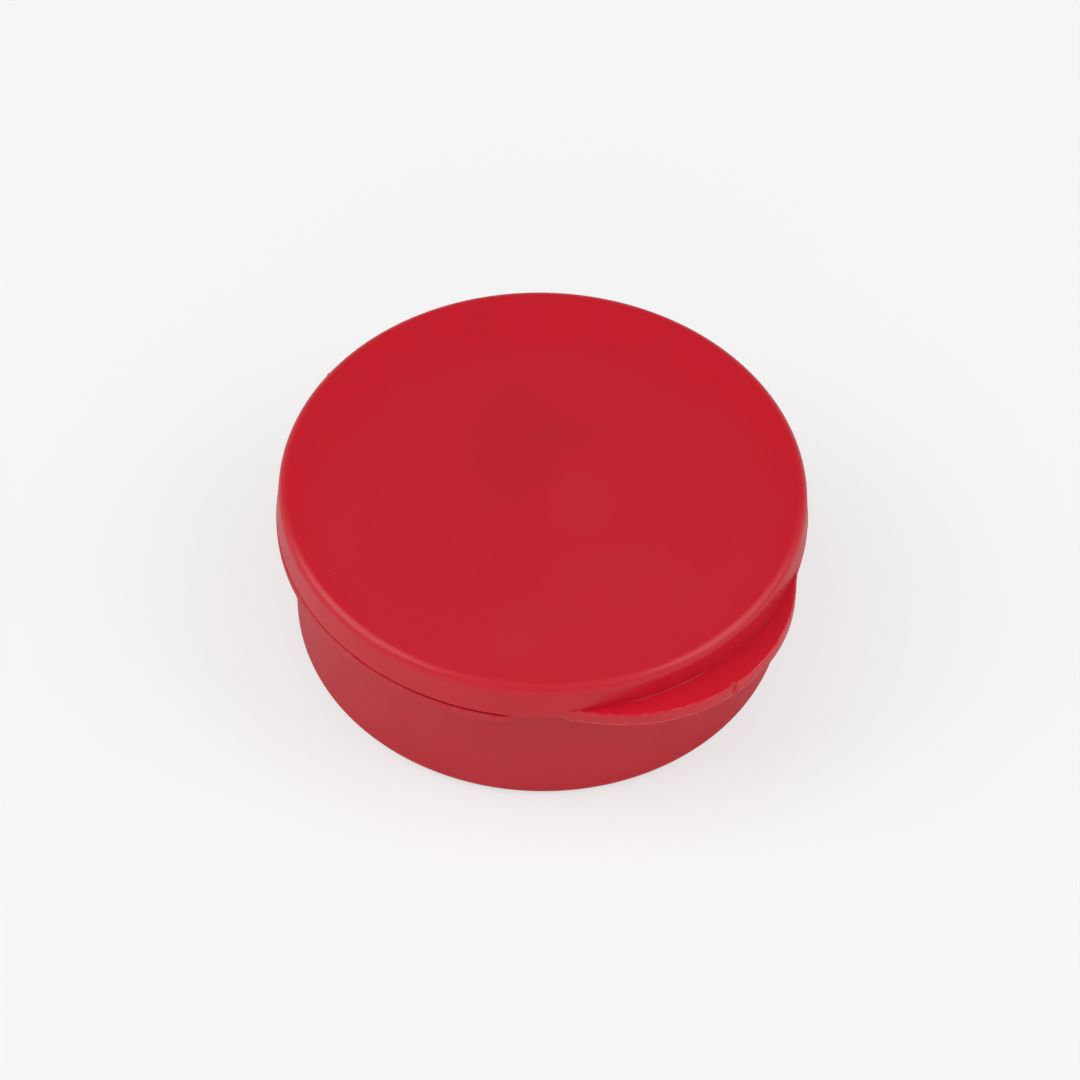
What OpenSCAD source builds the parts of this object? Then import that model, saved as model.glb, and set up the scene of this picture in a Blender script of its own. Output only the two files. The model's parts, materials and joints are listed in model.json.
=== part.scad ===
// Round flip-top box, moulded in one piece of polypropylene with a living hinge.
// Millimetres. The origin is the centre of the underside, +Z is up,
// the hinge is at +Y and the thumb tab at -Y. The lid is drawn closed.

/* [Box] */
// Diameter of the lid at its top edge
lid_d = 40; // [32:0.5:60]
// Height of the closed box
box_h = 14.5; // [10:0.5:40]

/* [Lid] */
// Height of the lid, from its top to the lower edge of its skirt
lid_h = 3.17; // [3:0.01:4]
// Thickness of the lid's top
lid_top_t = 1.1; // [0.8:0.1:1.2]
// Rounding of the lid's top edge
top_edge_r = 0.8; // [0.5:0.1:1]
// Thickness of the skirt at the top edge
skirt_t = 0.95; // [0.8:0.05:1.1]
// How much the skirt widens down to its lower edge
skirt_flare = 0.23; // [0.1:0.01:0.3]

/* [Base] */
// How far the cup's wall stands in from the lid's top edge
cup_inset = 1; // [0.8:0.1:1.2]
// How much the cup's wall narrows down to its foot
cup_draft = 0.2; // [0:0.05:0.5]
// Rounding of the foot
foot_r = 0.9; // [0.5:0.1:1.2]
// Thickness of the floor
floor_t = 1.2; // [0.8:0.1:2]
// Rounding inside, where the floor meets the wall
floor_corner_r = 1; // [0.5:0.1:2]
// Wall thickness of the neck that the lid closes over
neck_t = 1.2; // [0.8:0.1:1.5]
// Chamfer round the top of the neck
neck_chamfer = 0.3; // [0.1:0.05:0.4]
// Thickness of the flange that the lid closes onto
flange_t = 0.74; // [0.6:0.01:1]
// How far the flange shows past the lid's skirt
flange_reveal = 0.04; // [0:0.01:0.2]

/* [Snap] */
// How far the bead stands out from the neck
bead_proud = 0.2; // [0.1:0.02:0.22]
// Width of the bead where it meets the neck
bead_w = 0.6; // [0.4:0.05:0.8]
// Height of the bead's middle above the flange
bead_rise = 1; // [0.8:0.05:1.2]
// Depth of the groove inside the skirt
groove_depth = 0.2; // [0.1:0.05:0.3]

/* [Thumb tab] */
// Radius of the tab's outline
tab_r = 13.2; // [10:0.1:15]
// How far the tab reaches out past the lid's top edge
tab_reach = 2.5; // [1.8:0.1:3]
// Thickness of the tab
tab_t = 1.25; // [1:0.05:1.5]
// How far the tab hangs below the skirt's lower edge
tab_drop = 0.56; // [0.3:0.02:0.7]
// Half the angle round the lid where the flange is left out for the tab
tab_gap_angle = 42.5; // [40:0.5:60]
// Radius of the gate notch in the middle of the tab's edge
gate_notch_r = 0.3; // [0.2:0.05:0.4]

/* [Hinge] */
// Width of the hinge
hinge_w = 9; // [6:0.5:14]
// Distance from the lid's top edge out to the hinge's axis
hinge_reach = 0.7; // [0.7:0.05:1.2]
// Half the angle that the closed web wraps round the axis
web_wrap = 110; // [105:1:115]
// Depth of the web's inner edge in front of the axis
web_inner = 0.1; // [0.08:0.01:0.12]

/* [Clearances] */
// Gap between the closed lid and the flange
part_gap = 0.12; // [0.1:0.01:0.2]
// Gap between the neck and the skirt
neck_gap = 0.3; // [0.25:0.01:0.4]
// Gap between the top of the neck and the lid
neck_top_gap = 0.2; // [0.15:0.05:0.4]
// Gap between the cup's wall and the tab
tab_gap = 0.35; // [0.3:0.05:0.5]

/* [Hidden] */

red = [0.75, 0.15, 0.2];
deep_red = [0.66, 0.1, 0.15];
over = 1;                 // how far a cutting shape runs past what it cuts
web_steps = 16;           // straight steps along the web's curved back
$fn = 240;

// Heights
skirt_z = box_h - lid_h;              // lower edge of the skirt
flange_top_z = skirt_z - part_gap;
flange_z = flange_top_z - flange_t;
ceiling_z = box_h - lid_top_t;        // underside of the lid's top
neck_z = ceiling_z - neck_top_gap;
bead_z = flange_top_z + bead_rise;
edge_z = box_h - top_edge_r;          // where the top edge's rounding starts
tab_z = skirt_z - tab_drop;
axis_z = (skirt_z + flange_top_z) / 2;

// Radii
lid_r = lid_d / 2;
skirt_r = lid_r + skirt_flare;
skirt_bore_r = lid_r - skirt_t;
neck_r = skirt_bore_r - neck_gap;
cavity_r = neck_r - neck_t;
cup_r = lid_r - cup_inset;
foot_wall_r = cup_r - cup_draft;
flange_r = skirt_r + flange_reveal;

// Thumb tab
tab_centre = lid_r + tab_reach - tab_r;

// Hinge: everything is measured from the axis, half the fold at a time
axis_y = lid_r + hinge_reach;
leaf_in = part_gap / 2;               // from the axis to a leaf's inner face
leaf_out = leaf_in + flange_t;        // from the axis to a leaf's outer face
leaf_end = leaf_out / tan(180 - web_wrap);

// What a rounded corner takes away, with the corner at the origin
module corner_cut(r) {
  translate([-r, -r]) difference() {
    square(r + over);
    circle(r);
  }
}

// The bead's outline on a wall of radius wall_r
module bead_outline(wall_r, proud) {
  polygon([
    [wall_r - over, -bead_w / 2], [wall_r, -bead_w / 2], [wall_r + proud, -bead_w / 8],
    [wall_r + proud, bead_w / 8], [wall_r, bead_w / 2], [wall_r - over, bead_w / 2]
  ]);
}

// Outer shape of the lid without its tab, as a half outline
module lid_outline(low_r, low_z) {
  difference() {
    polygon([
      [0, low_z], [low_r, low_z], [low_r, skirt_z], [skirt_r, skirt_z],
      [lid_r, edge_z], [lid_r, box_h], [0, box_h]
    ]);
    translate([lid_r, box_h]) corner_cut(top_edge_r);
  }
}

module base_cup() {
  color(red) rotate_extrude() difference() {
    polygon([
      [0, 0], [foot_wall_r, 0], [foot_wall_r, foot_r], [cup_r, flange_z],
      [cup_r, flange_top_z], [neck_r, flange_top_z], [neck_r, neck_z - neck_chamfer],
      [neck_r - neck_chamfer, neck_z], [0, neck_z]
    ]);
    translate([foot_wall_r, 0]) mirror([0, 1]) corner_cut(foot_r);
    difference() {
      polygon([
        [0, floor_t], [cavity_r - cup_draft, floor_t],
        [cavity_r - cup_draft, floor_t + floor_corner_r],
        [cavity_r, neck_z], [cavity_r, neck_z + over], [0, neck_z + over]
      ]);
      translate([cavity_r - cup_draft, floor_t]) mirror([0, 1]) corner_cut(floor_corner_r);
    }
  }
}

// Ring that the skirt closes onto, left out where the tab hangs
module base_flange() {
  color(red) rotate([0, 0, tab_gap_angle - 90]) rotate_extrude(angle = 360 - 2 * tab_gap_angle)
    translate([cup_r, flange_z]) square([flange_r - cup_r, flange_t]);
}

module snap_bead() {
  color(deep_red) rotate_extrude() difference() {
    translate([0, bead_z]) bead_outline(neck_r, bead_proud);
    translate([0, bead_z - bead_w]) square([neck_r, 2 * bead_w]);
  }
}

// Hinge leaf on one side of the fold: side is -1 below the axis and 1 above it
module leaf(side) {
  translate([hinge_w / 2, axis_y, axis_z]) rotate([90, 0, -90]) linear_extrude(hinge_w)
    scale([-1, 1]) polygon([
      [-axis_y + cup_r - over, side * leaf_in], [-web_inner, side * leaf_in],
      [-leaf_end, side * leaf_out], [-axis_y + cup_r - over, side * leaf_out]
    ]);
}

module base_hinge_leaf() {
  color(red) difference() {
    leaf(-1);
    cylinder(h = box_h, r = flange_r);
  }
}

module lid_hinge_leaf() {
  color(red) difference() {
    leaf(1);
    rotate_extrude() lid_outline(skirt_r, 0);
  }
}

// Back of the closed web: u runs from -1 at the lower leaf to 1 at the upper one.
// The angle eases in and out, so a fold that turns each point by its share opens flat.
function web_back(u) =
  let (
    angle = web_wrap * (3 * u - u * u * u) / 2,
    r = u == 0 ? leaf_out / (1.5 * web_wrap * PI / 180) : leaf_out * u / sin(angle)
  )
  [r * cos(angle), leaf_out * u];

module hinge_web() {
  back = [for (i = [-web_steps / 2 : web_steps / 2]) web_back(2 * i / web_steps)];
  color(deep_red) translate([hinge_w / 2, axis_y, axis_z]) rotate([90, 0, -90])
    linear_extrude(hinge_w) scale([-1, 1])
      polygon(concat(back, [[-web_inner, leaf_in], [-web_inner, -leaf_in]]));
}

module lid_shell() {
  color(red) rotate_extrude() difference() {
    lid_outline(skirt_r, skirt_z);
    difference() {
      translate([0, skirt_z - over]) square([skirt_bore_r, ceiling_z - skirt_z + over]);
      translate([skirt_bore_r, ceiling_z]) corner_cut(top_edge_r / 2);
    }
    translate([0, bead_z]) bead_outline(skirt_bore_r, groove_depth);
  }
}

// Flat crescent that stands out from the skirt's lower edge
module thumb_tab() {
  color(red) difference() {
    translate([0, -tab_centre, tab_z]) cylinder(h = tab_t, r = tab_r);
    rotate_extrude() lid_outline(cup_r + tab_gap, 0);
    translate([0, -lid_r - tab_reach, tab_z - over]) cylinder(h = box_h, r = gate_notch_r);
  }
}

base_cup();
base_flange();
snap_bead();
base_hinge_leaf();
hinge_web();
lid_shell();
thumb_tab();
lid_hinge_leaf();
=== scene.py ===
import json
import math

import bmesh
import bpy
from mathutils import Matrix, Vector, noise


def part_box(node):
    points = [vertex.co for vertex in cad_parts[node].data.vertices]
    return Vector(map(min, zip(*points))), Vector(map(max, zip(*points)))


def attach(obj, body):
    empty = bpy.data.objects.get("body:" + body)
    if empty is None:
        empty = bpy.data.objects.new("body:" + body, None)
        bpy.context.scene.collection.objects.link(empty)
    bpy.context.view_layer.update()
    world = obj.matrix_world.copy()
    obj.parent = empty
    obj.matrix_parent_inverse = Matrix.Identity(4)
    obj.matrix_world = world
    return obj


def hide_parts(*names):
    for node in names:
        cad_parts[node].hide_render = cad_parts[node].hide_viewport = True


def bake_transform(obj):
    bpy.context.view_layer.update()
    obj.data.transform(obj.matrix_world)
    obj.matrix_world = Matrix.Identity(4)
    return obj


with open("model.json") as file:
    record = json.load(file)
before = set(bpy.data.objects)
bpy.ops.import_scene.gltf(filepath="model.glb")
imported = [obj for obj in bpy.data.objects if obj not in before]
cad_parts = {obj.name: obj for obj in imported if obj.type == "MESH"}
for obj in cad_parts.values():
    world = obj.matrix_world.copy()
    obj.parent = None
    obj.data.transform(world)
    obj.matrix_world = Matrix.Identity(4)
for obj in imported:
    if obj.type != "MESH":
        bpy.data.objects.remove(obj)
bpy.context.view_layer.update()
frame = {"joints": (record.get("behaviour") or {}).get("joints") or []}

# A small round flip-top box in red polypropylene: cup, snap lid, thumb tab and living hinge.
mm = 0.001

cupLow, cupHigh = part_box("base_cup")
flangeLow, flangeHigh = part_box("base_flange")
lidLow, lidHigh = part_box("lid_shell")
tabLow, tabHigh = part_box("thumb_tab")
beadLow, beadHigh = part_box("snap_bead")
leafLow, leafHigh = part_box("base_hinge_leaf")
lidLeafLow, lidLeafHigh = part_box("lid_hinge_leaf")
hingePoint = Vector(frame["joints"][0]["pos_m"])
print("frame loaded, lid", round(lidHigh.x * 2 / mm, 2), "mm across")


def smooth(value, low, high):
    share = min(max((value - low) / (high - low), 0), 1)
    return share * share * (3 - 2 * share)


def drift(angle, perTurn, seed):
    # slow noise round the box that closes on itself
    spread = perTurn / math.tau
    return noise.noise(Vector((math.cos(angle) * spread, math.sin(angle) * spread, seed)))


def brokenLine(along, perMillimetre, seed):
    # ragged noise along an edge, coarse and fine
    x = along / mm * perMillimetre
    return noise.noise(Vector((x, seed, 0))) + 0.6 * noise.noise(Vector((x * 3.4, 0, seed)))


def addObject(name, data):
    piece = bpy.data.objects.new(name, data)
    bpy.context.scene.collection.objects.link(piece)
    return piece


def direction(azimuth, elevation):
    # from the box towards a place in the studio, with azimuth 0 on the tab's side
    a, e = math.radians(azimuth), math.radians(elevation)
    return Vector((math.sin(a) * math.cos(e), -math.cos(a) * math.cos(e), math.sin(e)))


def roundedPath(corners, closed, arcSteps=8, hold=0.03 * mm):
    # corners are (x, z, radius); points just outside each arc keep the flats flat when shaded smooth
    points = []
    count = len(corners)
    for i, (x, z, radius) in enumerate(corners):
        here = Vector((x, z))
        atEnd = not closed and i in (0, count - 1)
        if radius <= 0 or atEnd:
            points.append(here)
            continue
        before = Vector(corners[i - 1][:2]) - here
        after = Vector(corners[(i + 1) % count][:2]) - here
        opening = before.angle(after)
        reach = radius / math.tan(opening / 2)
        before.normalize()
        after.normalize()
        middle = here + (before + after).normalized() * (radius / math.sin(opening / 2))
        first = here + before * reach - middle
        last = here + after * reach - middle
        sweep = first.angle_signed(last)
        points.append(middle + first + before * hold)
        for k in range(arcSteps + 1):
            share = -sweep * k / arcSteps
            c, s = math.cos(share), math.sin(share)
            points.append(middle + Vector((first.x * c - first.y * s, first.x * s + first.y * c)))
        points.append(middle + last + after * hold)
    return points


def outlineObject(name, points, closed):
    count = len(points)
    mesh = bpy.data.meshes.new(name)
    edges = [(i, (i + 1) % count) for i in range(count if closed else count - 1)]
    mesh.from_pydata([(p.x, p.y, 0) for p in points], edges, [])
    return addObject(name, mesh)


# The turning tree sweeps an outline of radius and height round the box's axis.
def makeTurningTree():
    tree = bpy.data.node_groups.new("turnedMoulding", "GeometryNodeTree")
    face = tree.interface
    face.new_socket("Geometry", in_out="OUTPUT", socket_type="NodeSocketGeometry")
    face.new_socket("Geometry", in_out="INPUT", socket_type="NodeSocketGeometry")
    ids = {}
    for name, kind in (
        ("Steps", "NodeSocketInt"), ("Full Turn", "NodeSocketBool"), ("Start", "NodeSocketFloat"),
        ("Sweep", "NodeSocketFloat"), ("Path Radius", "NodeSocketFloat"), ("Weld", "NodeSocketFloat"),
        ("Material", "NodeSocketMaterial"),
    ):
        ids[name] = face.new_socket(name, in_out="INPUT", socket_type=kind).identifier

    def add(kind, **settings):
        node = tree.nodes.new(kind)
        for key, value in settings.items():
            setattr(node, key, value)
        return node

    given, result = add("NodeGroupInput"), add("NodeGroupOutput")
    toCurve = add("GeometryNodeMeshToCurve")
    back = add("ShaderNodeMath", operation="MULTIPLY")
    offset = add("ShaderNodeCombineXYZ")
    place = add("GeometryNodeTransform")
    ring = add("GeometryNodeCurvePrimitiveCircle")
    arc = add("GeometryNodeCurveArc")
    choose = add("GeometryNodeSwitch", input_type="GEOMETRY")
    upright = add("GeometryNodeSetCurveNormal", mode="Z_UP")
    sweep = add("GeometryNodeCurveToMesh")
    weld = add("GeometryNodeMergeByDistance")
    shade = add("GeometryNodeSetShadeSmooth")
    realize = add("GeometryNodeRealizeInstances")
    paint = add("GeometryNodeSetMaterial")
    back.inputs[1].default_value = -1
    place.inputs["Rotation"].default_value = (math.pi, 0, 0)  # the swept outline's Y points down
    sweep.inputs["Fill Caps"].default_value = True
    link = tree.links.new
    link(given.outputs["Geometry"], toCurve.inputs["Mesh"])
    link(toCurve.outputs["Curve"], place.inputs["Geometry"])
    link(given.outputs["Path Radius"], back.inputs[0])
    link(back.outputs[0], offset.inputs["X"])
    link(offset.outputs["Vector"], place.inputs["Translation"])
    for path in (ring, arc):
        link(given.outputs["Steps"], path.inputs["Resolution"])
        link(given.outputs["Path Radius"], path.inputs["Radius"])
    link(given.outputs["Start"], arc.inputs["Start Angle"])
    link(given.outputs["Sweep"], arc.inputs["Sweep Angle"])
    link(given.outputs["Full Turn"], choose.inputs["Switch"])
    link(arc.outputs["Curve"], choose.inputs["False"])
    link(ring.outputs["Curve"], choose.inputs["True"])
    link(choose.outputs["Output"], upright.inputs["Curve"])
    link(upright.outputs["Curve"], sweep.inputs["Curve"])
    link(place.outputs["Geometry"], sweep.inputs["Profile Curve"])
    link(sweep.outputs["Mesh"], weld.inputs["Geometry"])
    link(given.outputs["Weld"], weld.inputs["Distance"])
    link(weld.outputs["Geometry"], shade.inputs["Geometry"])
    link(shade.outputs["Geometry"], realize.inputs["Geometry"])
    link(realize.outputs["Geometry"], paint.inputs["Geometry"])
    link(given.outputs["Material"], paint.inputs["Material"])
    link(paint.outputs["Geometry"], result.inputs["Geometry"])
    return tree, ids


turningTree, turningIds = makeTurningTree()
turningRadius = 10 * mm     # of the swept path; the outline is set back by as much, so any size will do
weldWithin = 0.002 * mm     # joins the points that meet on the axis


def turn(name, points, material, steps, closed=False, start=None, sweep=None):
    piece = outlineObject(name, points, closed)
    modifier = piece.modifiers.new("turn", "NODES")
    modifier.node_group = turningTree
    full = sweep is None
    values = {
        "Steps": steps, "Full Turn": full, "Start": 0.0 if full else start,
        "Sweep": 1.0 if full else sweep, "Path Radius": turningRadius, "Weld": weldWithin,
        "Material": material,
    }
    for key, value in values.items():
        modifier[turningIds[key]] = value
    seen = piece.evaluated_get(bpy.context.evaluated_depsgraph_get())
    mesh = bpy.data.meshes.new_from_object(seen)
    piece.modifiers.remove(modifier)
    piece.data = mesh
    mesh.name = name
    faceOutwards(piece)
    return piece


def faceOutwards(piece):
    shape = bmesh.new()
    shape.from_mesh(piece.data)
    bmesh.ops.recalc_face_normals(shape, faces=shape.faces)
    shape.to_mesh(piece.data)
    shape.free()


def pieceFromShape(name, shape, material):
    mesh = bpy.data.meshes.new(name)
    shape.to_mesh(mesh)
    shape.free()
    mesh.materials.append(material)
    return addObject(name, mesh)


def loopsPiece(name, loops, material):
    # a closed tube through loops of equal length, with a cap at each end
    shape = bmesh.new()
    rings = [[shape.verts.new(p) for p in loop] for loop in loops]
    for one, two in zip(rings, rings[1:]):
        for i in range(len(one)):
            j = (i + 1) % len(one)
            shape.faces.new((one[i], one[j], two[j], two[i]))
    shape.faces.new(rings[0])
    shape.faces.new(rings[-1])
    bmesh.ops.recalc_face_normals(shape, faces=shape.faces)
    for face in shape.faces:
        face.smooth = len(face.verts) == 4
    return pieceFromShape(name, shape, material)


def markFlashAndGlint(piece, howMuch):
    # the mark is 1 where the mould has left a thin pale burr, and along part of the tab's crease where a
    # highlight is painted, and 0 elsewhere
    layer = piece.data.attributes.new("flashAndGlint", "FLOAT", "POINT")
    for v in piece.data.vertices:
        layer.data[v.index].value = min(max(howMuch(v.co), 0), 1)


def newGroup(name, inputs, outputs):
    group = bpy.data.node_groups.new(name, "ShaderNodeTree")
    for label, value in inputs:
        socket = group.interface.new_socket(label, in_out="INPUT", socket_type="NodeSocketFloat")
        socket.default_value = value
    for label in outputs:
        group.interface.new_socket(label, in_out="OUTPUT", socket_type="NodeSocketFloat")
    return group, group.nodes.new("NodeGroupInput"), group.nodes.new("NodeGroupOutput")


def mathNode(nodes, links, operation, *values):
    node = nodes.new("ShaderNodeMath")
    node.operation = operation
    for i, value in enumerate(values):
        if isinstance(value, (int, float)):
            node.inputs[i].default_value = value
        else:
            links.new(value, node.inputs[i])
    return node.outputs[0]


def noiseNode(nodes, links, vector, scale, detail, rough):
    node = nodes.new("ShaderNodeTexNoise")
    node.inputs["Detail"].default_value = detail
    node.inputs["Roughness"].default_value = rough
    links.new(vector, node.inputs["Vector"])
    links.new(scale, node.inputs["Scale"])
    return node.outputs["Fac"]


def perMetre(nodes, links, size):
    # a pattern's scale, from its size in millimetres
    return mathNode(nodes, links, "DIVIDE", 1 / mm, size)


def rangeNode(nodes, links, value, low, high, toLow, toHigh):
    node = nodes.new("ShaderNodeMapRange")
    node.interpolation_type = "SMOOTHSTEP"
    links.new(value, node.inputs["Value"])
    for label, number in (("From Min", low), ("From Max", high), ("To Min", toLow), ("To Max", toHigh)):
        node.inputs[label].default_value = number
    return node.outputs["Result"]


def makeGrainGroup():
    # moulded polypropylene: slow flow marks, a soft peel and a fine grain
    group, given, result = newGroup(
        "mouldGrain",
        (("Flow Size", 6.0), ("Peel Size", 1.2), ("Grain Size", 0.12), ("Grain Depth", 0.25)),
        ("Flow", "Height"),
    )
    nodes, links = group.nodes, group.links
    where = nodes.new("ShaderNodeTexCoord").outputs["Object"]
    flow = noiseNode(nodes, links, where, perMetre(nodes, links, given.outputs["Flow Size"]), 3.0, 0.55)
    peel = noiseNode(nodes, links, where, perMetre(nodes, links, given.outputs["Peel Size"]), 1.0, 0.4)
    grain = noiseNode(nodes, links, where, perMetre(nodes, links, given.outputs["Grain Size"]), 3.0, 0.6)
    fine = mathNode(nodes, links, "MULTIPLY", grain, given.outputs["Grain Depth"])
    links.new(flow, result.inputs["Flow"])
    links.new(mathNode(nodes, links, "ADD", peel, fine), result.inputs["Height"])
    return group


def makeScuffGroup():
    # short hairline scratches in three directions and a few specks of dust
    strokes = ((0.5, 0.03), (-0.9, 0.045), (1.9, 0.035))   # angle, squeeze along the scratch
    group, given, result = newGroup(
        "scuffs",
        (
            ("Scratch Size", 0.35), ("Scratch Amount", 0.5), ("Patch Size", 4.5),
            ("Speck Size", 1.6), ("Speck Amount", 0.06),
        ),
        ("Scratches", "Specks"),
    )
    nodes, links = group.nodes, group.links
    where = nodes.new("ShaderNodeTexCoord").outputs["Object"]
    scratchScale = perMetre(nodes, links, given.outputs["Scratch Size"])
    patchScale = perMetre(nodes, links, given.outputs["Patch Size"])
    speckScale = perMetre(nodes, links, given.outputs["Speck Size"])
    total = None
    for angle, squeeze in strokes:
        turned = nodes.new("ShaderNodeMapping")
        turned.inputs["Rotation"].default_value = (0.3 * angle, 0.2, angle)
        turned.inputs["Scale"].default_value = (squeeze, 1, 1)
        links.new(where, turned.inputs["Vector"])
        line = noiseNode(nodes, links, turned.outputs["Vector"], scratchScale, 1.0, 0.3)
        line = rangeNode(nodes, links, line, 0.70, 0.76, 0.0, 1.0)
        total = line if total is None else mathNode(nodes, links, "MAXIMUM", total, line)
    patches = noiseNode(nodes, links, where, patchScale, 1.0, 0.5)
    patches = rangeNode(nodes, links, patches, 0.45, 0.65, 0.0, 1.0)
    total = mathNode(nodes, links, "MULTIPLY", total, patches)
    total = mathNode(nodes, links, "MULTIPLY", total, given.outputs["Scratch Amount"])
    links.new(total, result.inputs["Scratches"])
    dots = nodes.new("ShaderNodeTexVoronoi")
    links.new(where, dots.inputs["Vector"])
    links.new(speckScale, dots.inputs["Scale"])
    near = mathNode(nodes, links, "LESS_THAN", dots.outputs["Distance"], given.outputs["Speck Amount"])
    links.new(near, result.inputs["Specks"])
    return group


def makeFilmAndSheenGroup():
    # a ragged patch, for handling film and for painted sheen: 1 inside, fading to 0 at its broken edge
    group, given, result = newGroup(
        "handlingFilmAndSheen",
        (
            ("X", 0.0), ("Y", 0.0), ("Half Length", 5.0), ("Half Width", 4.0), ("Turn", 0.0),
            ("Ragged", 0.6), ("Ragged Size", 3.0), ("Fade", 0.5), ("Lowest", 0.0),
        ),
        ("Mask",),
    )
    nodes, links = group.nodes, group.links
    where = nodes.new("ShaderNodeTexCoord").outputs["Object"]
    split = nodes.new("ShaderNodeSeparateXYZ")
    links.new(where, split.inputs["Vector"])
    east = mathNode(nodes, links, "MULTIPLY", split.outputs["X"], 1 / mm)
    north = mathNode(nodes, links, "MULTIPLY", split.outputs["Y"], 1 / mm)
    east = mathNode(nodes, links, "SUBTRACT", east, given.outputs["X"])
    north = mathNode(nodes, links, "SUBTRACT", north, given.outputs["Y"])
    c = mathNode(nodes, links, "COSINE", given.outputs["Turn"])
    s = mathNode(nodes, links, "SINE", given.outputs["Turn"])
    along = mathNode(nodes, links, "MULTIPLY_ADD", east, c, mathNode(nodes, links, "MULTIPLY", north, s))
    across = mathNode(
        nodes, links, "SUBTRACT",
        mathNode(nodes, links, "MULTIPLY", north, c), mathNode(nodes, links, "MULTIPLY", east, s),
    )
    along = mathNode(nodes, links, "DIVIDE", along, given.outputs["Half Length"])
    across = mathNode(nodes, links, "DIVIDE", across, given.outputs["Half Width"])
    along = mathNode(nodes, links, "POWER", mathNode(nodes, links, "ABSOLUTE", along), 2.0)
    across = mathNode(nodes, links, "POWER", mathNode(nodes, links, "ABSOLUTE", across), 2.0)
    span = mathNode(nodes, links, "SQRT", mathNode(nodes, links, "ADD", along, across))
    scale = perMetre(nodes, links, given.outputs["Ragged Size"])
    rough = noiseNode(nodes, links, where, scale, 4.0, 0.65)
    rough = mathNode(nodes, links, "SUBTRACT", rough, 0.5)
    rough = mathNode(nodes, links, "MULTIPLY", rough, given.outputs["Ragged"])
    span = mathNode(nodes, links, "ADD", span, mathNode(nodes, links, "MULTIPLY", rough, 2.0))
    edge = mathNode(nodes, links, "SUBTRACT", 1.0, span)
    edge = mathNode(nodes, links, "DIVIDE", edge, given.outputs["Fade"])
    mask = rangeNode(nodes, links, edge, -0.5, 0.5, 0.0, 1.0)
    height = mathNode(nodes, links, "MULTIPLY", split.outputs["Z"], 1 / mm)
    outside = mathNode(nodes, links, "GREATER_THAN", height, given.outputs["Lowest"])
    links.new(mathNode(nodes, links, "MULTIPLY", mask, outside), result.inputs["Mask"])
    return group


grainGroup = makeGrainGroup()
scuffGroup = makeScuffGroup()
filmAndSheenGroup = makeFilmAndSheenGroup()


def placeGroup(material, group, **values):
    node = material.node_tree.nodes.new("ShaderNodeGroup")
    node.node_tree = group
    for label, value in values.items():
        node.inputs[label].default_value = value
    return node


def mixColour(nodes, links, amount, low, high):
    node = nodes.new("ShaderNodeMix")
    node.data_type = "RGBA"
    links.new(amount, node.inputs["Factor"])
    for socket, value in ((node.inputs["A"], low), (node.inputs["B"], high)):
        if isinstance(value, tuple):
            socket.default_value = (*value, 1)
        else:
            links.new(value, socket)
    return node.outputs["Result"]


def redPlastic(name, look):
    material = bpy.data.materials.new(name)
    material.use_nodes = True
    nodes, links = material.node_tree.nodes, material.node_tree.links
    shader = nodes["Principled BSDF"]
    shader.inputs["IOR"].default_value = look["ior"]
    shader.inputs["Specular IOR Level"].default_value = look["shine"]
    shader.inputs["Subsurface Weight"].default_value = look["glow"]
    shader.inputs["Subsurface Radius"].default_value = look["glowRadius"]
    shader.inputs["Subsurface Scale"].default_value = look["glowDepth"]
    grain = placeGroup(material, grainGroup, **look["grain"])
    scuffs = placeGroup(material, scuffGroup, **look["scuffs"])
    flow = rangeNode(nodes, links, grain.outputs["Flow"], 0.3, 0.7, 0.0, 1.0)
    colour = mixColour(nodes, links, flow, look["colour"], look["flowColour"])
    # handling films, and the painted sheen on the lid's top
    for overlay in look["filmsAndSheen"]:
        patch = placeGroup(material, filmAndSheenGroup, **overlay["patch"])
        amount = mathNode(nodes, links, "MULTIPLY", patch.outputs["Mask"], overlay["strength"])
        colour = mixColour(nodes, links, amount, colour, overlay["colour"])
    specks = mathNode(nodes, links, "MULTIPLY", scuffs.outputs["Specks"], look["speckShade"])
    colour = mixColour(nodes, links, specks, colour, look["speckColour"])
    # pale burrs, and the painted highlight along the tab's crease
    flashAndGlint = nodes.new("ShaderNodeAttribute")
    flashAndGlint.attribute_name = "flashAndGlint"
    flashAndGlintAmount = mathNode(nodes, links, "MULTIPLY", flashAndGlint.outputs["Fac"], look["flashAndGlintShade"])
    colour = mixColour(nodes, links, flashAndGlintAmount, colour, look["flashAndGlintColour"])
    links.new(colour, shader.inputs["Base Color"])
    rough = rangeNode(nodes, links, grain.outputs["Flow"], 0.25, 0.75, *look["rough"])
    scratches = scuffs.outputs["Scratches"]
    rough = mathNode(nodes, links, "MULTIPLY_ADD", scratches, look["scratchRough"], rough)
    rough = mathNode(nodes, links, "MULTIPLY_ADD", flashAndGlint.outputs["Fac"], look["flashAndGlintRough"], rough)
    links.new(rough, shader.inputs["Roughness"])
    height = mathNode(
        nodes, links, "MULTIPLY_ADD", scratches, -look["scratchDepth"], grain.outputs["Height"]
    )
    bump = nodes.new("ShaderNodeBump")
    bump.inputs["Strength"].default_value = look["bump"]
    bump.inputs["Distance"].default_value = look["bumpHeight"]
    links.new(height, bump.inputs["Height"])
    links.new(bump.outputs["Normal"], shader.inputs["Normal"])
    return material


filmAndSheenLowest = 13.8   # in mm: the films and the painted sheen lie on the lid's top, not on its inside


def filmAndSheen(colour, strength, x, y, halfLength, halfWidth, heading, ragged, raggedSize, fade=0.5):
    patch = {
        "X": x, "Y": y, "Half Length": halfLength, "Half Width": halfWidth, "Turn": heading,
        "Ragged": ragged, "Ragged Size": raggedSize, "Fade": fade, "Lowest": filmAndSheenLowest,
    }
    return {"patch": patch, "strength": strength, "colour": colour}


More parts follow.
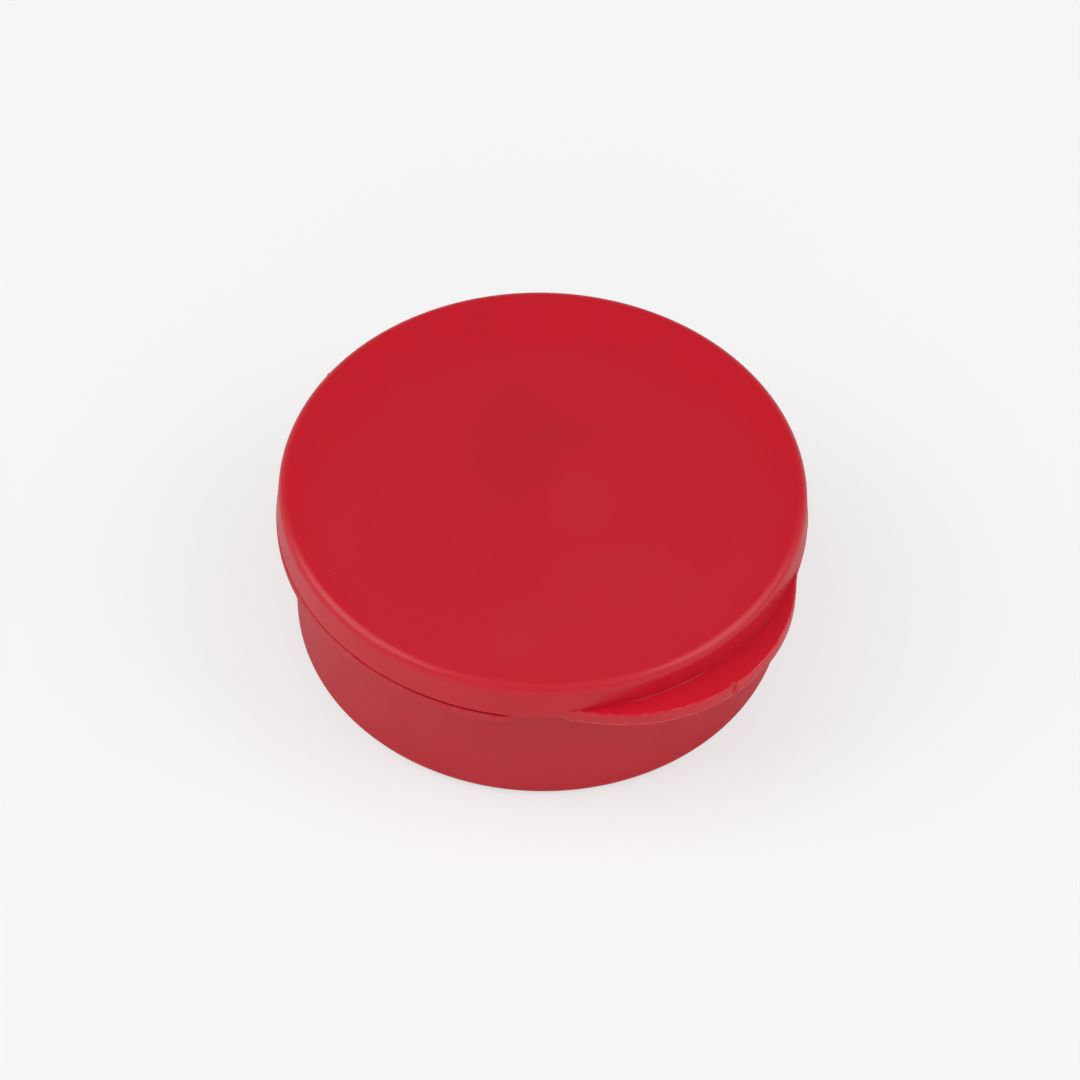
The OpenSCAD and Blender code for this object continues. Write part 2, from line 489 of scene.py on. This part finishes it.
paintedSheen = (0.560, 0.0165, 0.0300)      # painted sheen: a grey that greys the red a little, in place of reflection
thickDust = (0.540, 0.0250, 0.0370)
grime = (0.405, 0.0090, 0.0205)     # darker, from fingers
lidLook = {
    "colour": (0.590, 0.0062, 0.0205),
    "flowColour": (0.570, 0.0054, 0.0188),
    "filmsAndSheen": [
        # painted sheen over the top, except in a band along the rim
        filmAndSheen(paintedSheen, 0.60, -2.5, -3.0, 17.5, 17.5, 0.0, 0.12, 6.0, 0.30),
        filmAndSheen(thickDust, 0.24, 0.9, -3.4, 3.0, 2.4, 0.9, 0.6, 2.2),
        filmAndSheen(thickDust, 0.22, -2.4, -12.2, 6.4, 4.4, -0.6, 0.7, 2.6),
        filmAndSheen(thickDust, 0.26, -10.6, -9.9, 3.0, 2.0, 0.6, 0.6, 2.2),
        filmAndSheen(grime, 0.27, 0.6, 4.0, 5.4, 3.6, 0.75, 0.7, 2.6, 0.55),
        filmAndSheen(grime, 0.18, 4.6, 2.6, 2.6, 1.6, -0.6, 0.6, 2.0, 0.55),
    ],
    "rough": (0.31, 0.38), "ior": 1.49, "shine": 0.47, "bump": 0.3, "bumpHeight": 0.01 * mm,
    "scratchRough": 0.15, "scratchDepth": 0.6, "flashAndGlintRough": 0.2,
    "glow": 0.45, "glowRadius": (1.0, 0.12, 0.08), "glowDepth": 0.7 * mm,
    "grain": {"Flow Size": 7.0, "Peel Size": 1.3, "Grain Size": 0.14, "Grain Depth": 0.25},
    "scuffs": {"Scratch Size": 0.3, "Scratch Amount": 0.5, "Speck Size": 2.2, "Speck Amount": 0.03},
    "speckShade": 0.3, "speckColour": (0.62, 0.20, 0.20),
    "flashAndGlintShade": 0.55, "flashAndGlintColour": (0.60, 0.11, 0.12),
}
# the base's red is darker than the lid's, though both are one moulding: painted shade
baseLook = dict(
    lidLook, filmsAndSheen=[], colour=(0.550, 0.0080, 0.0215), flowColour=(0.530, 0.0070, 0.0200),
    rough=(0.38, 0.46),
    grain={"Flow Size": 9.0, "Peel Size": 1.6, "Grain Size": 0.18, "Grain Depth": 0.4},
)
# the tab's red is lighter than the lid's, though both are one moulding: painted light on the ledge and
# the wall above it
tabLook = dict(
    baseLook, colour=(0.610, 0.0062, 0.0215), flowColour=(0.595, 0.0056, 0.0205),
    rough=(0.28, 0.34), bump=0.2, flashAndGlintShade=0.8,
)
webLook = dict(
    baseLook, colour=(0.54, 0.012, 0.027), flowColour=(0.58, 0.036, 0.052), rough=(0.40, 0.52),
    grain={"Flow Size": 0.5, "Peel Size": 0.4, "Grain Size": 0.08, "Grain Depth": 0.5},
)
lidRed = redPlastic("lidRed", lidLook)
baseRed = redPlastic("baseRed", baseLook)
tabRed = redPlastic("tabRed", tabLook)
webRed = redPlastic("webRed", webLook)
print("finishes made")


lidShape = {
    "topEdge": 0.8 * mm,      # rounding of the top edge
    "crown": 0.16 * mm,       # how far the top falls from its middle to its edge
    "flare": 0.23 * mm,       # how much the skirt widens to its lower edge
    "skirt": 0.95 * mm,       # thickness at the top edge
    "top": 1.1 * mm,
    "inner": 0.4 * mm,        # rounding inside, under the top
    "lip": 0.1 * mm,          # rounding of the skirt's lower edge
    "mouth": 0.15 * mm,       # rounding of the lower edge's inner side
    "groove": 0.2 * mm,
    "grooveEdge": 0.08 * mm,
    "grooveFloor": 0.06 * mm,
    "ragged": 0.02 * mm,      # the mould's parting edge is never quite clean
    "raggedBand": 0.14 * mm,  # how far up the skirt that reaches
    "raggedPerTurn": 140,     # waves of the noise round the box
    "flashPerTurn": (150, 420),
    "steps": 360,
    "crownSteps": 14,
    "crownStart": 1.6,        # where the crown starts, in roundings of the top edge from the rim
}


def lidSkirtRadius(z):
    top = lidHigh.z - lidShape["topEdge"]
    share = min(max((top - z) / (top - lidLow.z), 0), 1)
    return lidHigh.x - lidShape["flare"] * (1 - share)


def makeLid():
    s = lidShape
    radius = lidHigh.x - s["flare"]
    bore = radius - s["skirt"]
    ceiling = lidHigh.z - s["top"]
    grooveZ = (beadLow.z + beadHigh.z) / 2
    half = (beadHigh.z - beadLow.z) / 2
    corners = [
        (0, ceiling, 0), (bore, ceiling, s["inner"]),
        (bore, grooveZ + half, s["grooveEdge"]),
        (bore + s["groove"], grooveZ + half / 4, s["grooveFloor"]),
        (bore + s["groove"], grooveZ - half / 4, s["grooveFloor"]),
        (bore, grooveZ - half, s["grooveEdge"]),
        (bore, lidLow.z, s["mouth"]), (lidHigh.x, lidLow.z, s["lip"]),
        (radius, lidHigh.z - s["crown"], s["topEdge"]),
    ]
    start = radius - s["topEdge"] * s["crownStart"]
    for k in range(s["crownSteps"] + 1):
        r = start * (1 - k / s["crownSteps"])
        corners.append((r, lidHigh.z - s["crown"] * (r / radius) ** 4, 0))
    lid = turn("lidShell", roundedPath(corners, False), lidRed, s["steps"])
    lipTop = lidLow.z + s["raggedBand"]
    for v in lid.data.vertices:
        if v.co.z < lipTop and math.hypot(v.co.x, v.co.y) > radius:
            v.co.z += s["ragged"] * (1 + drift(math.atan2(v.co.y, v.co.x), s["raggedPerTurn"], 3))

    def onLip(co):
        if co.z > lipTop or math.hypot(co.x, co.y) < radius:
            return 0
        angle = math.atan2(co.y, co.x)
        coarse, fine = s["flashPerTurn"]
        return 0.7 * smooth(drift(angle, coarse, 5) + 0.6 * drift(angle, fine, 8), 0.1, 0.45)

    markFlashAndGlint(lid, onLip)
    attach(lid, "lid")
    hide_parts("lid_shell")


makeLid()
print("lid turned")


# The thumb tab is a flat crescent that meets the skirt in a small fillet.
tabShape = {
    "radius": 13.2 * mm,      # outline, round its own centre
    "lowerEdge": 0.12 * mm,
    "upperEdge": 0.08 * mm,
    "fillet": 0.03 * mm,
    "tipBlend": 0.24 * mm,    # softens the corner where each tip meets the skirt
    "inside": 19.42 * mm,     # clear of the cup's wall
    "tipWidth": 0.04 * mm,
    "sunk": 0.25 * mm,        # how far its root runs into the skirt
    "rootLift": 0.1 * mm,     # how far the root's underside is above the skirt's lower edge
    "notchHalf": 0.24 * mm,   # gate notch in the middle of the edge
    "notchDepth": 0.24 * mm,
    "ragged": 0.035 * mm,
    "lowBurrs": 1.1,          # burrs per millimetre of edge
    "topBurrs": 1.3,
    "paleBurrs": 0.9,
    "paleRim": 0.11 * mm,     # how far in from the outline a burr shows pale
    "paleLow": 0.17 * mm,
    "paleTop": 0.04 * mm,
    "creaseGlint": (-0.42, -0.03),   # where a painted highlight shows along the fillet, in radians from the middle
    "creaseGlintFade": (0.12, 0.02),
    "sections": 520,
    "arcSteps": 6,
}
tabCentre = -tabLow.y - tabShape["radius"]    # how far the outline's centre is from the box's axis


def makeTab():
    s = tabShape
    zLow, zTop = tabLow.z, tabHigh.z
    zRoot = lidLow.z + s["rootLift"]

    def alongTo(limit, beta):
        # distance from the tab's centre, in direction beta, to a circle round the box's axis
        return -tabCentre * math.cos(beta) + math.sqrt(limit ** 2 - (tabCentre * math.sin(beta)) ** 2)

    end = s["inside"] + s["tipWidth"]
    betaEnd = math.acos(
        (end ** 2 - tabCentre ** 2 - s["radius"] ** 2) / (2 * tabCentre * s["radius"])
    )
    loops = []
    for k in range(s["sections"] + 1):
        beta = betaEnd * (2 * k / s["sections"] - 1)
        along = beta * s["radius"]
        lowBurr = brokenLine(along, s["lowBurrs"], 2.1)
        topBurr = brokenLine(along, s["topBurrs"], 7.1)
        notch = s["notchDepth"] * math.exp(-(along / s["notchHalf"]) ** 4)
        innerRho = alongTo(s["inside"], beta)
        wallRho = alongTo(lidSkirtRadius(zTop), beta)
        gap = s["radius"] - wallRho
        blended = (gap + math.sqrt(gap ** 2 + s["tipBlend"] ** 2)) / 2
        blend = smooth(gap, -2.5 * s["tipBlend"], -0.5 * s["tipBlend"])
        outer = wallRho + gap + (blended - gap) * blend
        width = outer - innerRho
        # near the tips every size shrinks with the width that is left
        r1 = min(s["lowerEdge"], 0.35 * width)
        r2 = min(s["upperEdge"], 0.35 * width, max(0.4 * (outer - wallRho), 0.05 * width))
        section = [(innerRho, zLow)]
        for share in (0.05, 0.5, 0.95):
            section.append((innerRho + (width - r1) * share, zLow))
        for i in range(s["arcSteps"] + 1):
            a = math.pi / 2 * i / s["arcSteps"]
            drop = min(lowBurr, 0) * s["ragged"] * math.sin(2 * a) * r1 / s["lowerEdge"]
            section.append((outer - r1 + r1 * math.sin(a), zLow + r1 - r1 * math.cos(a) - drop))
        for share in (0.03, 0.09, 0.3, 0.5, 0.7, 0.96):
            bite = notch * smooth(share, 0.0, 0.5)
            section.append((outer - bite, zLow + r1 + (zTop - r2 - zLow - r1) * share))
        for i in range(s["arcSteps"] + 1):
            a = math.pi / 2 * i / s["arcSteps"]
            lift = min(topBurr, 0) * s["ragged"] * math.sin(2 * a) * r2 / s["upperEdge"]
            section.append((outer - notch - r2 + r2 * math.cos(a), zTop - r2 + r2 * math.sin(a) + lift))
        ledgeOut = outer - notch - r2
        crease = min(wallRho, ledgeOut - 0.1 * width)
        crease = max(crease, innerRho + 0.2 * width)
        fillet = min(s["fillet"], 0.3 * (ledgeOut - crease))
        for share in (0.02, 0.06, 0.35, 0.65, 0.96):
            section.append((ledgeOut + (crease + fillet - ledgeOut) * share, zTop))
        for i in range(s["arcSteps"] + 1):
            a = math.pi / 2 * i / s["arcSteps"]
            section.append((crease + fillet - fillet * math.sin(a), zTop + fillet - fillet * math.cos(a)))
        root = max(crease - s["sunk"], innerRho + 0.1 * width)
        section.append((root, zTop + fillet))
        section.append((root, zRoot))
        section.append((innerRho, zRoot))
        loops.append([
            (rho * math.sin(beta), -tabCentre - rho * math.cos(beta), z) for rho, z in section
        ])
    tab = loopsPiece("thumbTab", loops, tabRed)

    def onEdges(co):
        rho = math.hypot(co.x, co.y + tabCentre)
        beta = math.atan2(co.x, -(co.y + tabCentre))
        r = math.hypot(co.x, co.y)
        theta = math.atan2(co.x, -co.y)
        along = beta * s["radius"]
        broken = brokenLine(along, s["paleBurrs"], 4)
        atRim = rho > s["radius"] - s["paleRim"]
        if atRim and co.z < zLow + s["paleLow"]:
            return smooth(broken, -0.4, 0.2)
        if atRim and co.z > zTop - s["paleTop"]:
            return 0.7 * smooth(broken + 0.5 * smooth(beta, 0.0, 0.3), 0.0, 0.5)
        # a painted highlight: a pale line along the crease's fillet, over part of its length
        nearCrease = 2 * s["fillet"]
        if abs(r - lidSkirtRadius(zTop)) < nearCrease and abs(co.z - zTop) < nearCrease:
            low, high = s["creaseGlint"]
            fadeIn, fadeOut = s["creaseGlintFade"]
            return 0.9 * smooth(theta, low, low + fadeIn) * (1 - smooth(theta, high - fadeOut, high))
        return 0

    markFlashAndGlint(tab, onEdges)
    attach(tab, "lid")
    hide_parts("thumb_tab")


makeTab()
print("thumb tab lofted")


cupShape = {
    "draft": 0.2 * mm,
    "foot": 0.9 * mm,
    "floor": 1.2 * mm,
    "floorCorner": 1.0 * mm,
    "neckStep": 0.25 * mm,    # how far the neck stands in from the wall
    "neckWall": 1.2 * mm,
    "neckEdge": 0.28 * mm,
    "neckMouth": 0.15 * mm,   # rounding of the neck's inner edge
    "neckRoot": 0.08 * mm,
    "underFlange": 0.3 * mm,
    "dish": 0.08 * mm,        # the underside is drawn up a little towards its middle
    "dishEnd": 0.92,          # share of the underside's radius where it comes down to the ground
    "dishSteps": (0.2, 0.4, 0.6, 0.75, 0.88),
    "steps": 256,
}


def makeCup():
    s = cupShape
    radius = cupHigh.x
    neck = radius - s["neckStep"]
    cavity = neck - s["neckWall"]
    low = radius - s["draft"]
    corners = [(0, cupLow.z + s["dish"], 0)]
    for share in s["dishSteps"]:
        corners.append((low * share, cupLow.z + s["dish"] * (1 - (share / s["dishEnd"]) ** 2), 0))
    corners += [
        (low * s["dishEnd"], cupLow.z, 0), (low, cupLow.z, s["foot"]),
        (radius, flangeLow.z, s["underFlange"]), (radius, flangeHigh.z, s["neckRoot"]),
        (neck, flangeHigh.z, s["neckRoot"]), (neck, cupHigh.z, s["neckEdge"]),
        (cavity, cupHigh.z, s["neckMouth"]),
        (cavity - s["draft"], cupLow.z + s["floor"], s["floorCorner"]),
        (0, cupLow.z + s["floor"], 0),
    ]
    cup = turn("baseCup", roundedPath(corners, False), baseRed, s["steps"])
    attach(cup, "base")
    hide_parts("base_cup")


flangeShape = {
    "edge": 0.1 * mm,
    "root": 0.2 * mm,                 # how far it runs into the cup's wall
    "still": 0.01 * mm,               # this much of the root isn't moved
    "gapAngle": math.radians(42.5),   # half the gap left for the tab
    "taper": math.radians(6),         # each end thins away over this angle
    "thinnest": 0.02,                 # square of the share of its thickness left at each end
    "endReach": 0.4,                  # share of its overhang left at each end
    "rim": 0.5 * mm,                  # how far out from the cup's wall its ragged rim starts
    "ragged": 0.03 * mm,
    "raggedPerTurn": 190,
    "flashPerTurn": (170, 430),
    "flashRim": 0.12 * mm,
    "steps": 520,
}


def makeFlange():
    s = flangeShape
    inner = cupHigh.x - s["root"]
    corners = [
        (inner, flangeLow.z, 0), (flangeHigh.x, flangeLow.z, s["edge"]),
        (flangeHigh.x, flangeHigh.z, s["edge"]), (inner, flangeHigh.z, 0),
    ]
    flange = turn(
        "baseFlange", roundedPath(corners, True), baseRed, s["steps"], closed=True,
        start=s["gapAngle"] - math.pi / 2, sweep=2 * math.pi - 2 * s["gapAngle"],
    )
    for v in flange.data.vertices:
        r = math.hypot(v.co.x, v.co.y)
        fromTab = abs(math.atan2(v.co.x, -v.co.y))
        thin = smooth(fromTab, s["gapAngle"], s["gapAngle"] + s["taper"])
        thin = math.sqrt(max(thin, s["thinnest"]))
        v.co.z = flangeHigh.z - (flangeHigh.z - v.co.z) * thin
        if r > inner + s["still"]:
            angle = math.atan2(v.co.y, v.co.x)
            overhang = (r - inner) * (s["endReach"] + (1 - s["endReach"]) * thin)
            if r > cupHigh.x + s["rim"]:
                overhang += s["ragged"] * min(drift(angle, s["raggedPerTurn"], 9), 0)
            v.co.x *= (inner + overhang) / r
            v.co.y *= (inner + overhang) / r

    def onRim(co):
        if math.hypot(co.x, co.y) < flangeHigh.x - s["flashRim"]:
            return 0
        angle = math.atan2(co.y, co.x)
        coarse, fine = s["flashPerTurn"]
        return 0.5 * smooth(drift(angle, coarse, 2) + 0.6 * drift(angle, fine, 6), 0.1, 0.6)

    markFlashAndGlint(flange, onRim)
    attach(flange, "base")
    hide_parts("base_flange")


beadShape = {
    "sunk": 0.1 * mm,         # how far it runs into the neck
    "root": 0.05 * mm,
    "crest": 0.08 * mm,
    "hold": 0.01 * mm,
    "arcSteps": 5,
}


def makeBead():
    s = beadShape
    neck = cupHigh.x - cupShape["neckStep"]
    sunk = neck - s["sunk"]
    middle = (beadLow.z + beadHigh.z) / 2
    half = (beadHigh.z - beadLow.z) / 2
    corners = [
        (sunk, middle - half, 0), (neck, middle - half, s["root"]),
        (beadHigh.x, middle - half / 4, s["crest"]), (beadHigh.x, middle + half / 4, s["crest"]),
        (neck, middle + half, s["root"]), (sunk, middle + half, 0),
    ]
    outline = roundedPath(corners, True, s["arcSteps"], s["hold"])
    bead = turn("snapBead", outline, baseRed, cupShape["steps"], closed=True)
    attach(bead, "base")
    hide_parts("snap_bead")


makeCup()
makeFlange()
makeBead()
print("base turned")


# The hinge is two leaves and the web that bends between them.
hingeShape = {
    "inside": 19.42 * mm,     # the leaves start inside the flange and the skirt
    "wrap": math.radians(110),    # how far round its middle the web's back reaches each way
    "inner": 0.1 * mm,        # how far in from the hinge's axis the web's inner side is at its ends
    "waist": 0.6,             # share of that at its middle
    "edge": 0.07 * mm,
    "edgeSteps": 4,
    "steps": 28,
    "slices": 24,
}
leafIn = lidLeafLow.z - hingePoint.z
leafOut = lidLeafHigh.z - hingePoint.z


def makeLeaf(name, side, body, node, material):
    s = hingeShape
    end = leafOut / math.tan(math.pi - s["wrap"])
    corners = [
        (s["inside"], side * leafIn), (hingePoint.y - s["inner"], side * leafIn),
        (hingePoint.y - end, side * leafOut), (s["inside"], side * leafOut),
    ]
    shape = bmesh.new()
    ends = []
    for x in (leafLow.x, leafHigh.x):
        ends.append([shape.verts.new((x, y, hingePoint.z + z)) for y, z in corners])
    for i in range(4):
        j = (i + 1) % 4
        shape.faces.new((ends[0][i], ends[0][j], ends[1][j], ends[1][i]))
    shape.faces.new(ends[0])
    shape.faces.new(ends[1])
    bmesh.ops.recalc_face_normals(shape, faces=shape.faces)
    bmesh.ops.bevel(
        shape, geom=shape.edges[:], offset=s["edge"], segments=s["edgeSteps"], profile=0.5,
        affect="EDGES",
    )
    for face in shape.faces:
        face.smooth = True
    leaf = pieceFromShape(name, shape, material)
    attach(leaf, body)
    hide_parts(node)


def makeWeb():
    # the back's angle follows the same ease as the bend, so the web opens flat with a groove behind
    s = hingeShape
    back = []
    for i in range(-s["steps"], s["steps"] + 1):
        u = i / s["steps"]
        angle = s["wrap"] * (3 * u - u ** 3) / 2
        r = leafOut * u / math.sin(angle) if i else leafOut / (1.5 * s["wrap"])
        back.append((r * math.cos(angle), leafOut * u))
    waist = s["inner"] * s["waist"]
    section = back + [(-s["inner"], leafIn), (-waist, 0), (-s["inner"], -leafIn)]
    loops = []
    width = leafHigh.x - leafLow.x
    for k in range(s["slices"] + 1):
        x = leafLow.x + width * k / s["slices"]
        loops.append([(x, hingePoint.y + y, hingePoint.z + z) for y, z in section])
    web = loopsPiece("hingeWeb", loops, webRed)
    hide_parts("hinge_web")
    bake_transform(web)


makeLeaf("baseHingeLeaf", -1, "base", "base_hinge_leaf", baseRed)
makeLeaf("lidHingeLeaf", 1, "lid", "lid_hinge_leaf", lidRed)
makeWeb()
print("hinge made")


studio = {
    "floorSize": 1.6,
    "floorColour": (0.34, 0.34, 0.34),
    "floorRough": 0.9,
    "floorLift": 0.60,        # an even part of the floor's brightness, which keeps the shadow faint
    "floorBounce": (0.70, 0.70, 0.70),   # what the floor gives back to the box
    "backdrop": (0.92, 0.92, 0.92),
    "sky": 0.13,              # what lights the box from all round, and more of it near the horizon
    "horizon": 0.42,
    "horizonHeights": (0.15, 0.60),      # sine of the elevation where it starts and stops fading
    # name, azimuth, elevation, distance, width, height, power and whether the gloss shows it
    "panels": (
        ("leftPanel", -126, 42, 0.75, 0.64, 0.66, 2.8, True),
        ("rightPanel", 43, 42, 0.75, 0.66, 0.66, 2.5, True),
        ("frontPanel", -40, 20, 0.75, 1.20, 0.50, 1.9, False),
        ("overheadPanel", -40, 89, 0.80, 0.80, 0.80, 1.8, False),
    ),
}


def makeFloor():
    half = studio["floorSize"] / 2
    mesh = bpy.data.meshes.new("floor")
    corners = [(-half, -half, 0), (half, -half, 0), (half, half, 0), (-half, half, 0)]
    mesh.from_pydata(corners, [], [(0, 1, 2, 3)])
    material = bpy.data.materials.new("paleFloor")
    material.use_nodes = True
    nodes, links = material.node_tree.nodes, material.node_tree.links
    shader = nodes["Principled BSDF"]
    shader.inputs["Base Color"].default_value = (*studio["floorColour"], 1)
    shader.inputs["Roughness"].default_value = studio["floorRough"]
    shader.inputs["Specular IOR Level"].default_value = 0.0
    shader.inputs["Emission Color"].default_value = (1, 1, 1, 1)
    shader.inputs["Emission Strength"].default_value = studio["floorLift"]
    bounce = nodes.new("ShaderNodeBsdfDiffuse")
    bounce.inputs["Color"].default_value = (*studio["floorBounce"], 1)
    path = nodes.new("ShaderNodeLightPath")
    mix = nodes.new("ShaderNodeMixShader")
    links.new(path.outputs["Is Camera Ray"], mix.inputs[0])
    links.new(bounce.outputs["BSDF"], mix.inputs[1])
    links.new(shader.outputs["BSDF"], mix.inputs[2])
    links.new(mix.outputs["Shader"], nodes["Material Output"].inputs["Surface"])
    mesh.materials.append(material)
    floor = addObject("floor", mesh)


def makePanel(name, azimuth, elevation, distance, width, height, power, inGloss):
    back = direction(azimuth, elevation)
    data = bpy.data.lights.new(name, "AREA")
    data.shape = "RECTANGLE"
    data.size = width
    data.size_y = height
    data.energy = power
    lamp = addObject(name, data)
    lamp.location = back * distance
    lamp.visible_glossy = inGloss
    lamp.rotation_mode = "QUATERNION"
    lamp.rotation_quaternion = (-back).to_track_quat("-Z", "Y")


def makeWorld():
    world = bpy.data.worlds.new("studioSky")
    world.use_nodes = True
    nodes, links = world.node_tree.nodes, world.node_tree.links
    sky = nodes["Background"]
    sky.inputs["Color"].default_value = (1, 1, 1, 1)
    split = nodes.new("ShaderNodeSeparateXYZ")
    links.new(nodes.new("ShaderNodeTexCoord").outputs["Generated"], split.inputs["Vector"])
    low, high = studio["horizonHeights"]
    strength = rangeNode(nodes, links, split.outputs["Z"], low, high, studio["horizon"], studio["sky"])
    links.new(strength, sky.inputs["Strength"])
    backdrop = nodes.new("ShaderNodeBackground")
    backdrop.inputs["Color"].default_value = (*studio["backdrop"], 1)
    path = nodes.new("ShaderNodeLightPath")
    mix = nodes.new("ShaderNodeMixShader")
    links.new(path.outputs["Is Camera Ray"], mix.inputs[0])
    links.new(sky.outputs["Background"], mix.inputs[1])
    links.new(backdrop.outputs["Background"], mix.inputs[2])
    links.new(mix.outputs["Shader"], nodes["World Output"].inputs["Surface"])
    bpy.context.scene.world = world


view = {
    "azimuth": -40.5, "elevation": 49.45, "roll": 1.62,
    "distance": 0.4, "lens": 175.94, "sensor": 36, "nearest": 0.01, "farthest": 10,
    "right": -0.232 * mm, "up": -4.12 * mm,   # from the lid's middle to what the camera is aimed at
    "lidMiddle": 14.07 * mm,
}


def makeCamera():
    v = view
    back = direction(v["azimuth"], v["elevation"])
    data = bpy.data.cameras.new("camera")
    data.lens = v["lens"]
    data.sensor_width = v["sensor"]
    data.clip_start = v["nearest"]
    data.clip_end = v["farthest"]
    camera = addObject("camera", data)
    middle = Vector((0, 0, v["lidMiddle"]))
    camera.location = middle + back * v["distance"]
    roll = Matrix.Rotation(math.radians(v["roll"]), 3, "Z")
    facing = (-back).to_track_quat("-Z", "Y").to_matrix() @ roll
    target = middle + facing @ Vector((v["right"], v["up"], 0))
    aim = (target - camera.location).to_track_quat("-Z", "Y").to_matrix() @ roll
    camera.rotation_mode = "QUATERNION"
    camera.rotation_quaternion = aim.to_quaternion()
    bpy.context.scene.camera = camera


makeFloor()
makeWorld()
for panel in studio["panels"]:
    makePanel(*panel)
makeCamera()
bpy.context.scene.view_settings.view_transform = "Standard"
print("studio set")
